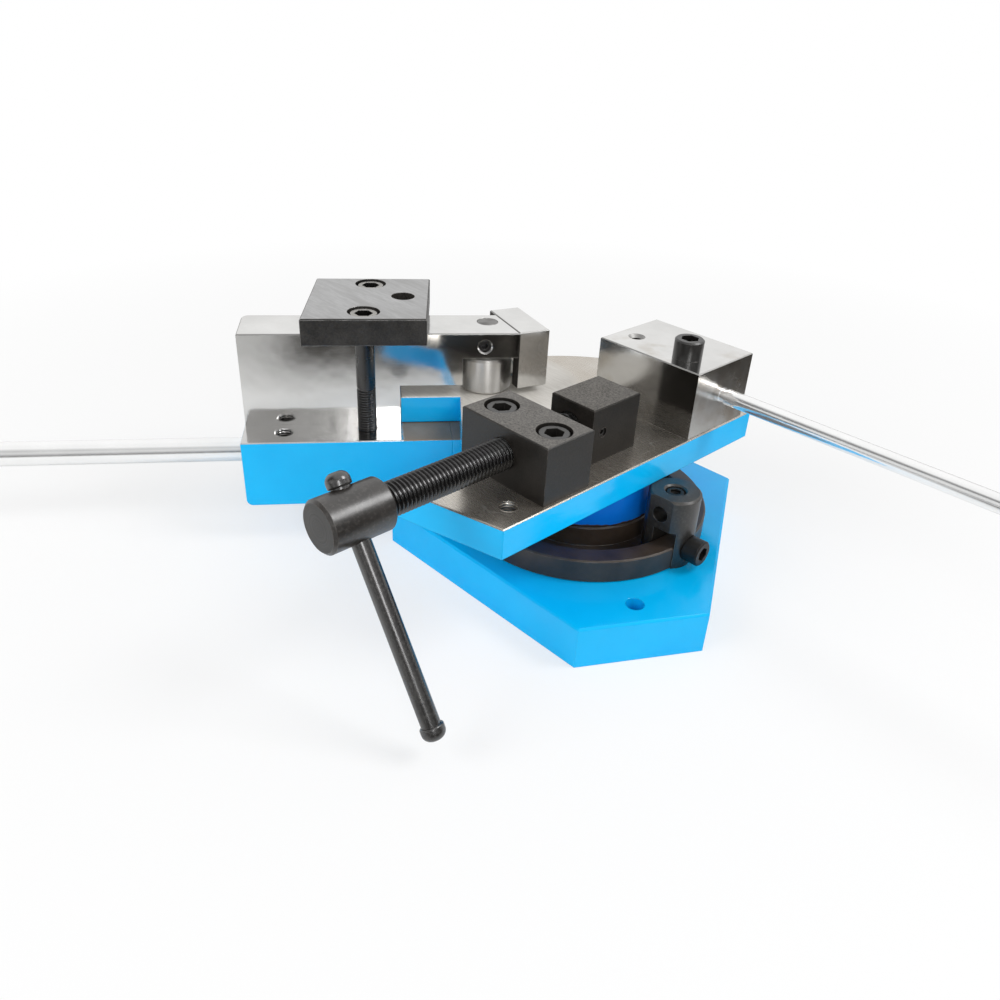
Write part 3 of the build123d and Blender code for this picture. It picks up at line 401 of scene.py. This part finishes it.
def polished_steel(name, turn=0.0, stains=0.0, seamed=False, shaded_hole=None, satin_side=None):
    """Polished steel, not quite flat, so that what it mirrors comes out cloudy. Its top edges are filed matt,
    the seam of beam and nose is dark, and a threaded hole is darkened as painted shade. A satin side is less
    polished and rusty."""
    p = Paint(name)
    normal, _ = p.soft_edge(0.00025)
    grain = p.noise(140, 5, 0.6, p.mapped((1.0, 1.0, 18.0), turn))
    smear = p.noise(26, 5, 0.6)
    tone = p.blend(p.span(smear, 0.3, 0.7), (0.64, 0.635, 0.62), (0.76, 0.755, 0.74))
    if stains:
        spot = p.span(p.noise(34, 4, 0.55), 0.56, 0.72, 0.0, stains)
        tone = p.blend(spot, tone, (0.46, 0.40, 0.32))
    rough = p.math("ADD", p.span(smear, 0.3, 0.72, 0.05, 0.13), p.span(grain, 0.3, 0.7, 0.0, 0.04))
    if seamed:
        off = p.math("ABSOLUTE", p.math("SUBTRACT", p.reach(SEAM_WAY), SEAM_REACH))
        seam = p.span(off, 0.0007, 0.0004)
        tone = p.blend(seam, tone, (0.045, 0.040, 0.036))
        rough = p.blend(seam, rough, 0.5, "FLOAT")
    if satin_side is not None:
        satin = p.facing(satin_side)
        matt = p.span(p.noise(70, 5, 0.6), 0.3, 0.7, 0.09, 0.17)
        rough = p.math("ADD", rough, p.math("MULTIPLY", satin, matt))
        rust = p.math("MULTIPLY", satin, p.span(p.noise(48, 5, 0.6), 0.45, 0.75, 0.0, 0.55))
        tone = p.blend(rust, tone, (0.34, 0.25, 0.165))
    # painted shade inside the threaded hole
    if shaded_hole is not None:
        inside = p.near(shaded_hole, COUNTER_MOUTH)
        tone = p.blend(inside, tone, (0.030, 0.028, 0.026))
        rough = p.blend(inside, rough, 0.5, "FLOAT")
    filed = p.math("MULTIPLY", p.facing(UP, 0.3, 0.5), p.facing(UP, 0.95, 0.85))
    rough = p.blend(filed, rough, 0.55, "FLOAT")
    tone = p.blend(filed, tone, (0.40, 0.395, 0.385))
    wavy = p.bump(p.noise(22, 3, 0.55), 0.25, 0.0012, normal)
    p.set(Base_Color=tone, Roughness=rough, Metallic=1.0, Normal=p.bump(grain, 0.025, 0.0001, wavy))
    return p.material


def ground_steel(name, low=(0.80, 0.785, 0.76), high=(0.94, 0.925, 0.90)):
    """Turned and ground steel, marked round its upright axis, so that light runs up it in a streak."""
    p = Paint(name)
    normal, edge = p.soft_edge(0.0005)
    grain = p.noise(60, 4, 0.5, p.mapped((1.0, 1.0, 40.0)))
    tone = p.blend(p.span(p.noise(40, 4), 0.3, 0.7), low, high)
    p.set(Base_Color=p.blend(edge, tone, (0.80, 0.79, 0.77)), Roughness=p.span(grain, 0.3, 0.7, 0.40, 0.50))
    p.set(Metallic=1.0, Anisotropic=0.90, Anisotropic_Rotation=0.25)
    p.set(Normal=p.bump(grain, 0.012, 0.0001, normal))
    p.set(Tangent=p.add("ShaderNodeTangent", direction_type="RADIAL", axis="Z").outputs[0])
    return p.material


def chrome(name):
    """Satin bright plating with faint draw marks and a few smears."""
    p = Paint(name)
    smear = p.noise(45, 5, 0.6)
    fine = p.noise(500, 3)
    tone = p.blend(p.span(smear, 0.3, 0.7), (0.92, 0.92, 0.915), (0.97, 0.97, 0.965))
    p.set(Base_Color=tone, Roughness=p.span(smear, 0.3, 0.75, 0.10, 0.18), Metallic=0.8)
    p.set(Normal=p.bump(fine, 0.02, 0.0001))
    return p.material


def bronze(name):
    """Turned bearing bronze."""
    p = Paint(name)
    grain = p.noise(60, 5, 0.6, p.mapped((1.0, 1.0, 40.0)))
    tone = p.blend(p.span(p.noise(50, 4), 0.3, 0.7), (0.42, 0.25, 0.10), (0.60, 0.39, 0.17))
    p.set(Base_Color=tone, Roughness=p.span(grain, 0.3, 0.7, 0.25, 0.42), Metallic=1.0)
    p.set(Normal=p.bump(grain, 0.06, 0.0001))
    return p.material


def wear(material, *names):
    """Give a finish to CAD nodes."""
    for name in names:
        data = nodes[name].data
        data.materials.clear()
        data.materials.append(material)


def thread_winding():
    """Node tree that winds a sixty degree thread up the Z axis from Z 0. It runs out at both ends."""
    tree = bpy.data.node_groups.new("thread_winding", "GeometryNodeTree")
    tree.interface.new_socket("Geometry", in_out="OUTPUT", socket_type="NodeSocketGeometry")
    for name, kind in (("Crest Radius", "Float"), ("Pitch", "Float"), ("Depth", "Float"), ("Steps", "Int"),
                       ("Steps Per Turn", "Int"), ("Finish", "Material")):
        tree.interface.new_socket(name, in_out="INPUT", socket_type="NodeSocket" + kind)
    w = Nodes(tree)
    given = w.add("NodeGroupInput").outputs

    def pick(index, values):
        node = w.add("GeometryNodeIndexSwitch", data_type="FLOAT")
        while len(node.index_switch_items) < len(values):
            node.index_switch_items.new()
        w.join(index, node.inputs["Index"])
        for socket, value in zip(list(node.inputs)[1:], values):
            socket.default_value = value
        return node.outputs[0]

    # Corners of one ridge: how far up the pitch each lies, and whether it is on the crest or at the root
    rises = (0.0, 5 / 16, 7 / 16, 12 / 16, 1.0)
    heights = (0.0, 1.0, 1.0, 0.0, 0.0)
    run_out = 0.4
    grid = w.add("GeometryNodeMeshGrid")
    w.join(given["Steps"], grid.inputs["Size X"])
    w.join(len(rises) - 1, grid.inputs["Size Y"])
    w.join(w.math("ADD", given["Steps"], 1), grid.inputs["Vertices X"])
    w.join(len(rises), grid.inputs["Vertices Y"])
    along, across, _ = w.split(w.add("GeometryNodeInputPosition").outputs[0])
    step = w.math("ADD", along, w.math("DIVIDE", given["Steps"], 2.0))
    corner = w.math("ROUND", w.math("ADD", across, (len(rises) - 1) / 2))
    turn = w.math("DIVIDE", step, given["Steps Per Turn"])
    angle = w.math("MULTIPLY", turn, math.tau)
    to_end = w.math("MINIMUM", step, w.math("SUBTRACT", given["Steps"], step))
    fading = w.math("MULTIPLY", given["Steps Per Turn"], run_out)
    fade = w.math("MINIMUM", w.math("DIVIDE", to_end, fading), 1.0)
    tall = w.math("MULTIPLY", w.math("MULTIPLY", pick(corner, heights), given["Depth"]), fade)
    radius = w.math("ADD", w.math("SUBTRACT", given["Crest Radius"], given["Depth"]), tall)
    point = w.add("ShaderNodeCombineXYZ")
    w.join(w.math("MULTIPLY", radius, w.math("COSINE", angle)), point.inputs[0])
    w.join(w.math("MULTIPLY", radius, w.math("SINE", angle)), point.inputs[1])
    w.join(w.math("MULTIPLY", w.math("ADD", turn, pick(corner, rises)), given["Pitch"]), point.inputs[2])
    wound = w.add("GeometryNodeSetPosition")
    w.join(grid.outputs["Mesh"], wound.inputs["Geometry"])
    w.join(point.outputs[0], wound.inputs["Position"])
    closed = w.add("GeometryNodeMergeByDistance")
    w.join(wound.outputs[0], closed.inputs["Geometry"])
    w.join(WELD, closed.inputs["Distance"])
    realized = w.add("GeometryNodeRealizeInstances")
    w.join(closed.outputs[0], realized.inputs[0])
    finished = w.add("GeometryNodeSetMaterial")
    w.join(realized.outputs[0], finished.inputs["Geometry"])
    w.join(given["Finish"], finished.inputs["Material"])
    w.join(finished.outputs[0], w.add("NodeGroupOutput").inputs[0])
    return tree


def wound_thread(tree, radius, pitch, length, finish):
    """Plain mesh of one thread, wound by the node tree."""
    steps_per_turn = 48
    carrier = bpy.data.objects.new("thread_carrier", bpy.data.meshes.new("thread_carrier"))
    scene.collection.objects.link(carrier)
    modifier = carrier.modifiers.new("winding", "NODES")
    modifier.node_group = tree
    values = {"Crest Radius": radius - CREST_GAP, "Pitch": pitch, "Depth": THREAD_DEPTH * pitch,
              "Steps": round((length / pitch - 1.0) * steps_per_turn), "Steps Per Turn": steps_per_turn,
              "Finish": finish}
    for item in tree.interface.items_tree:
        if item.in_out == "INPUT":
            modifier[item.identifier] = values[item.name]
    carrier.update_tag()
    graph = bpy.context.evaluated_depsgraph_get()
    mesh = bpy.data.meshes.new_from_object(carrier.evaluated_get(graph))
    carrier.modifiers.clear()
    bpy.data.objects.remove(carrier)
    first = mesh.polygons[0]
    if first.normal.dot(Vector((first.center.x, first.center.y, 0.0))) < 0:
        mesh.flip_normals()
    return mesh


def cut_to_core(shape, place, radius, pitch, length):
    """Cut a plain thread wall down to the core that the wound thread lies on."""
    back = place.inverted()
    axis = place.to_3x3() @ Vector(UP)
    for height in (0.0, length):
        everything = [*shape.verts, *shape.edges, *shape.faces]
        cut = place @ Vector((0.0, 0.0, height))
        bmesh.ops.bisect_plane(shape, geom=everything, dist=WELD, plane_co=cut, plane_no=axis)

    def on_wall(points):
        round_it = all(abs(math.hypot(q.x, q.y) - radius) < WALL_SLACK for q in points)
        return round_it and all(-WALL_END_SLACK < q.z < length + WALL_END_SLACK for q in points)

    wall = [face for face in shape.faces if on_wall([back @ corner.co for corner in face.verts])]
    bmesh.ops.delete(shape, geom=wall, context="FACES")
    open_edges = [edge for edge in shape.edges if edge.is_boundary]
    rims = [edge for edge in open_edges if on_wall([back @ end.co for end in edge.verts])]
    grown = bmesh.ops.extrude_edge_only(shape, edges=rims)["geom"]
    inner = {vert for vert in grown if isinstance(vert, bmesh.types.BMVert)}
    core = radius - THREAD_DEPTH * pitch - CORE_GAP
    for vert in inner:
        spot = back @ vert.co
        shrink = core / math.hypot(spot.x, spot.y)
        vert.co = place @ Vector((spot.x * shrink, spot.y * shrink, spot.z))
    loops = [edge for edge in grown if isinstance(edge, bmesh.types.BMEdge) and inner.issuperset(edge.verts)]
    bmesh.ops.bridge_loops(shape, edges=loops)


def threaded_piece(name, node, body, finish, spans):
    """Copy of a node with wound threads in place of its plain thread walls.
    A span is the place and turn of a thread's axis, its radius, its pitch and its length."""
    shape = bmesh.new()
    shape.from_mesh(nodes[node].data)
    bmesh.ops.remove_doubles(shape, verts=shape.verts, dist=WELD)
    for span in spans:
        cut_to_core(shape, *span)
    bmesh.ops.recalc_face_normals(shape, faces=shape.faces)
    plain = set(shape.faces)
    for place, radius, pitch, length in spans:
        mesh = wound_thread(winding, radius, pitch, length, thread_black)
        mesh.transform(place)
        shape.from_mesh(mesh)
        bpy.data.meshes.remove(mesh)
    for face in shape.faces:
        face.smooth = True
        face.material_index = 0 if face in plain else 1
    data = bpy.data.meshes.new(name)
    shape.to_mesh(data)
    shape.free()
    data.attributes.remove(data.attributes["custom_normal"])
    data.set_sharp_from_angle(angle=math.radians(25))
    data.materials.append(finish)
    data.materials.append(thread_black)
    piece = bpy.data.objects.new(name, data)
    scene.collection.objects.link(piece)
    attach(piece, body)
    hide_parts(node)


# Painted pieces, with bare steel on their working faces
table_holes = ((PIVOT, PIVOT_BORE, False), (TABLE_THREAD, THREAD_MOUTH, True))
arm_holes = ((ARM_THREAD, THREAD_MOUTH, True),)
# the ledge's brown, dull part is painted shade under the table's tail
ledge = {"bare": BRIGHT, "bare_metal": 1.0, "shaded_from": LEDGE_SHADE_START}
wear(blue_paint("base_paint"), "base_plate")
# the table's top is painted pale round the pivot as a painted highlight
wear(blue_paint("table_paint", TABLE_TOP, table_holes, rubbed=TAIL_LIGHT_RADIUS), "table")
# the boss is painted a darker blue as painted shade under the table
wear(blue_paint("boss_paint", brown_below=BOSS_FOOT, pigment=SHADED_BLUE), "king_post")
wear(blue_paint("arm_paint", LEDGE_TOP, arm_holes, **ledge), "swing_arm")
wear(blue_paint("lug_paint", LEDGE_TOP, **ledge), "pivot_lug")

# Blackened pieces
wear(block_black("block_finish", sheen=0.55), "screw_block")
wear(block_black("jaw_finish", sheen=0.24), "jaw")
wear(plate_black("plate_finish", ARM_TURN - math.radians(35)), "hold_down_plate")
wear(turned_black("screw_finish"), "block_screws", "counter_block_screw", "jaw_grub_screw", "pin_set_screw",
     "ring_screws", "retainer_screws", "beam_screws", "nose_screw")
track_black = turned_black("track_finish", marks=(1.0, 1.0, 30.0), low=(0.030, 0.021, 0.015),
                           high=(0.062, 0.044, 0.032), rough=(0.28, 0.40), gloss=1.5, rubbed=0.8)
wear(track_black, "turntable_ring")
set_screw_black = turned_black("set_screw_finish", low=(0.004, 0.0038, 0.0035), high=(0.009, 0.0085, 0.008),
                               rough=(0.34, 0.44), gloss=1.4, rubbed=0.15)
wear(set_screw_black, "stop_set_screw", "stop_clamp_screw")
post_black = turned_black("post_finish", low=(0.008, 0.007, 0.006), high=(0.020, 0.017, 0.014), rubbed=0.6,
                          specks=0.10)
wear(post_black, "stop_post")
bolt_black = turned_black("bolt_finish", low=(0.005, 0.0045, 0.004), high=(0.011, 0.0095, 0.008),
                          rough=(0.20, 0.30), rubbed=0.2, bare_tops=BOLT_HEADS)
wear(bolt_black, "hold_down_bolts")
bar_black = turned_black("bar_finish", rough=(0.15, 0.25), gloss=2.0, rubbed=0.7, specks=0.14)
wear(bar_black, "tommy_bar", "tommy_bar_knobs")
clamp_black = turned_black("clamp_screw_finish", marks=(1.0, 40.0, 1.0), low=(0.011, 0.0092, 0.008),
                           high=(0.026, 0.022, 0.0185), rough=(0.22, 0.32), gloss=1.8, rubbed=0.6,
                           rings=CLAMP_AXIS, specks=0.16)
wear(clamp_black, "clamp_screw")
thread_black = turned_black("thread_finish", low=(0.004, 0.004, 0.004), high=(0.010, 0.0095, 0.009),
                            rough=(0.15, 0.23), gloss=1.8, rubbed=0.0)

# Bright pieces
counter_bright = polished_steel("counter_polish", stains=0.5, shaded_hole=COUNTER_THREAD,
                                satin_side=(1.0, 0.0, 0.0))
wear(counter_bright, "counter_block")
wear(polished_steel("beam_polish", ARM_TURN, seamed=True), "bending_beam", "bending_nose")
wear(ground_steel("ground_finish"), "roller", "king_retainer", "pin_washer", "pin_circlip", "nose_dowel")
wear(ground_steel("pin_finish", (0.22, 0.215, 0.21), (0.34, 0.33, 0.32)), "pivot_pin")
wear(chrome("lever_plating"), "right_lever", "left_lever")
wear(bronze("bearing_bronze"), "turntable_bush", "thrust_washer", "pivot_bush", "roller_bush", "pivot_washer")


def clamp_thread():
    """Clamp screw with its wound eighteen millimetre thread, from its head to its tip."""
    head_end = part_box("clamp_screw")[0].y + CLAMP_HEAD
    start = Matrix.Translation((CLAMP_AXIS[0], head_end, CLAMP_AXIS[1]))
    place = start @ Matrix.Rotation(-math.pi / 2, 4, "X")
    spans = [(place, CLAMP_RADIUS, CLAMP_PITCH, CLAMP_LENGTH)]
    threaded_piece("clamp_screw_threaded", "clamp_screw", "clamp_screw", clamp_black, spans)


def bolt_threads():
    """Hold-down bolts, threaded from the arm's ledge to half their height."""
    along = Vector((math.cos(ARM_TURN), math.sin(ARM_TURN)))
    across = Vector((-math.sin(ARM_TURN), math.cos(ARM_TURN)))
    spans = []
    for side in BOLT_SIDES:
        spot = Vector(PIVOT) + (side * BOLT_SKEW + BOLT_ROW) * along + side * across
        foot = Matrix.Translation((spot.x, spot.y, BOLT_FOOT))
        spans.append((foot, BOLT_RADIUS, BOLT_PITCH, BOLT_LENGTH))
    threaded_piece("hold_down_bolts_threaded", "hold_down_bolts", "arm", bolt_black, spans)


winding = thread_winding()
clamp_thread()
bolt_threads()


def pale_floor():
    """Wide pale floor that keeps the object's shadow and fades to white away from it. In mirrors it is dim
    far in front of the beam, less so at the left, and far to the beam's right."""
    reach = 6.0
    data = bpy.data.meshes.new("floor")
    corners = [(-reach, -reach, 0), (reach, -reach, 0), (reach, reach, 0), (-reach, reach, 0)]
    data.from_pydata(corners, [], [(0, 1, 2, 3)])
    floor = bpy.data.objects.new("floor", data)
    scene.collection.objects.link(floor)
    p = Paint("floor_paper")
    p.set(Base_Color=p.blend(p.noise(3), (0.92, 0.92, 0.92), (0.94, 0.94, 0.935)), Roughness=0.8)
    path = p.add("ShaderNodeLightPath").outputs
    ahead = p.reach(ARM_TURN - math.pi / 2)
    aside = p.reach(ARM_TURN)
    front = p.math("MULTIPLY", p.span(ahead, 0.165, 0.262), p.span(aside, -0.25, -0.20, 0.4, 1.0))
    dim = p.math("MULTIPLY", path["Is Glossy Ray"], p.math("MAXIMUM", front, p.span(aside, 0.19, 0.375)))
    x, y, _ = p.axes()
    away = p.distance(x, y)
    fade = p.math("MULTIPLY", path["Is Camera Ray"], p.span(away, 0.22, 0.80, 0.62, 1.0))
    white = p.math("MAXIMUM", p.span(away, 0.55, 1.1), fade)
    shown = p.add("ShaderNodeEmission")
    p.join(p.blend(p.span(dim, 0.0, 0.05), (1.0, 1.0, 1.0), (0.050, 0.046, 0.041)), shown.inputs["Color"])
    mixed = p.add("ShaderNodeMixShader")
    p.join(p.math("MAXIMUM", white, dim), mixed.inputs[0])
    p.join(p.shader.outputs[0], mixed.inputs[1])
    p.join(shown.outputs[0], mixed.inputs[2])
    p.join(mixed.outputs[0], p.tree.nodes["Material Output"].inputs["Surface"])
    data.materials.append(p.material)


def studio_room():
    """White surroundings for the camera. Mirrors see them white behind the object and overhead, and dim in
    front but for one bright strip. As light they are even, and weaker from the left."""
    world = bpy.data.worlds.new("studio")
    scene.world = world
    world.use_nodes = True
    room = Nodes(world.node_tree)
    path = room.add("ShaderNodeLightPath").outputs
    way = room.add("ShaderNodeTexCoord").outputs["Generated"]
    height = room.split(way)[2]

    def towards(heading, low, high):
        turn = math.radians(heading)
        return room.span(room.dot(way, (math.cos(turn), math.sin(turn), 0.0)), low, high)

    def shift(factor, a, b):
        return room.blend(factor, a, b, "FLOAT")

    lit = shift(room.span(height, 0.08, 0.42), 0.12, 0.60)
    dim = shift(towards(-35, 0.25, 0.80), 0.09, lit)
    strip = shift(towards(-95, 0.825, 0.88), dim, 0.68)
    overhead = shift(room.span(height, 0.70, 0.90), strip, 0.92)
    seen = shift(towards(-45.5, 0.0, -0.35), overhead, 1.0)
    light = shift(towards(180, 0.0, 0.7), 0.50, 0.26)
    mirrored = shift(path["Is Glossy Ray"], light, seen)
    background = room.tree.nodes["Background"].inputs
    room.join((1.0, 1.0, 1.0), background["Color"])
    room.join(shift(path["Is Camera Ray"], mirrored, 1.0), background["Strength"])


def soft_box(name, place, size, radiance, mirrored=True):
    """Studio lamp that faces the object, given by how bright its face is. A fill lamp isn't mirrored."""
    middle = Vector((0.0, 0.0, 0.05))
    lamp = bpy.data.lights.new(name, "AREA")
    lamp.shape = "RECTANGLE"
    lamp.size, lamp.size_y = size
    lamp.energy = radiance * math.pi * size[0] * size[1]
    box = bpy.data.objects.new(name, lamp)
    box.location = place
    box.rotation_euler = (middle - Vector(place)).to_track_quat("-Z", "Y").to_euler()
    box.visible_camera = False
    box.visible_glossy = mirrored
    scene.collection.objects.link(box)


def photo_camera():
    """Camera solved from the photograph, taken as a square of a thousand pixels."""
    place = (0.3099, -0.3859, 0.3294)
    heading, pitch, roll = math.radians(134.5), math.radians(30.95), math.radians(3.33)
    focal, width, sensor = 870.0, 1000.0, 36.0
    level_run = math.cos(pitch)
    forward = Vector((math.cos(heading) * level_run, math.sin(heading) * level_run, -math.sin(pitch)))
    level = forward.cross(Vector(UP)).normalized()
    above = level.cross(forward)
    right = math.cos(roll) * level + math.sin(roll) * above
    up = -math.sin(roll) * level + math.cos(roll) * above
    data = bpy.data.cameras.new("photo_camera")
    data.sensor_width = sensor
    data.lens = sensor * focal / width
    data.shift_x = -0.006
    data.shift_y = -0.003
    data.clip_start = 0.01
    camera = bpy.data.objects.new("photo_camera", data)
    turn = Matrix((right, up, -forward)).transposed().to_4x4()
    camera.matrix_world = Matrix.Translation(place) @ turn
    scene.collection.objects.link(camera)
    scene.camera = camera


pale_floor()
studio_room()
soft_box("key_lamp", place=(0.83, 0.61, 1.25), size=(0.60, 0.60), radiance=8.8)
soft_box("front_window", place=(1.162, -0.799, 0.749), size=(0.33, 0.66), radiance=6.5)
soft_box("left_fill", place=(-0.43, -1.33, 0.95), size=(1.0, 0.7), radiance=4.8, mirrored=False)
photo_camera()
